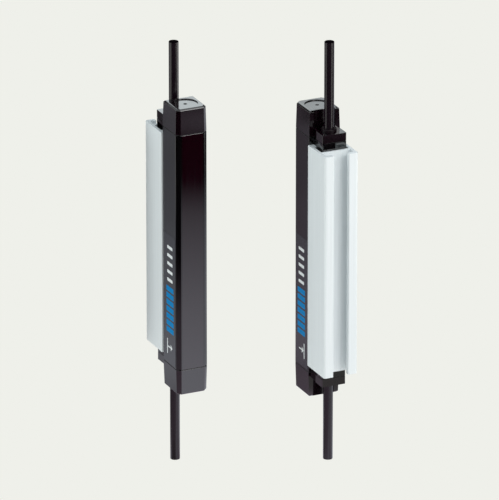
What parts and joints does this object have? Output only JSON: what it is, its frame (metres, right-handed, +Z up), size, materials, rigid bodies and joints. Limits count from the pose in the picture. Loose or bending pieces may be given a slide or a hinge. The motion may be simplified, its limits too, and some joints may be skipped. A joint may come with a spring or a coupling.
{
  "type": "automation light grid",
  "caption": "Slim black light grid: a transmitter bar and a receiver bar with dark front windows, end caps, straight cables and slotted aluminium mounting rails.",
  "frame": {"origin": "centre of the mouth of the receiver rail's slot, half way up the bar", "axes": "+Z up along the bars, +Y out of the receiver rail's slot, +X towards the transmitter"},
  "size_m": [0.0885, 0.0985, 0.2678],
  "materials": {
    "black_profile": "satin black, slight sheen",
    "dark_window": "glossy dark filter, brown-black",
    "anodised_rail": "matt natural anodised",
    "label_film": "satin printed film",
    "board": "green solder mask",
    "black_optics": "matt black moulding",
    "lens": "clear moulding",
    "diode": "dark epoxy",
    "chip": "matt black epoxy",
    "socket": "off-white moulding",
    "black_cap": "semi-gloss black moulding",
    "seal_rubber": "matt black",
    "bush_rubber": "matt black",
    "ribbon": "grey ribbon jacket",
    "cable_jacket": "satin black jacket"
  },
  "bodies": {
    "root": {"receiver_housing": "black_profile", "receiver_window": "dark_window", "receiver_rail": "anodised_rail", "receiver_label": "label_film", "receiver_circuit_board": "board", "receiver_aperture_bar": "black_optics", "receiver_lens_strip": "lens", "receiver_photodiodes": "diode", "receiver_board_chips": "chip", "receiver_lead_sockets": "socket", "receiver_top_cap": "black_cap", "receiver_top_gasket": "seal_rubber", "receiver_top_grommet": "bush_rubber", "receiver_top_lead": "ribbon", "receiver_top_cable": "cable_jacket", "receiver_bottom_cap": "black_cap", "receiver_bottom_gasket": "seal_rubber", "receiver_bottom_grommet": "bush_rubber", "receiver_bottom_lead": "ribbon", "receiver_bottom_cable": "cable_jacket", "transmitter_housing": "black_profile", "transmitter_window": "dark_window", "transmitter_rail": "anodised_rail", "transmitter_label": "label_film", "transmitter_circuit_board": "board", "transmitter_aperture_bar": "black_optics", "transmitter_lens_strip": "lens", "transmitter_emitters": "diode", "transmitter_board_chips": "chip", "transmitter_lead_sockets": "socket", "transmitter_top_cap": "black_cap", "transmitter_top_gasket": "seal_rubber", "transmitter_top_grommet": "bush_rubber", "transmitter_top_lead": "ribbon", "transmitter_top_cable": "cable_jacket", "transmitter_bottom_cap": "black_cap", "transmitter_bottom_gasket": "seal_rubber", "transmitter_bottom_grommet": "bush_rubber", "transmitter_bottom_lead": "ribbon", "transmitter_bottom_cable": "cable_jacket"}
  },
  "joints": []
}
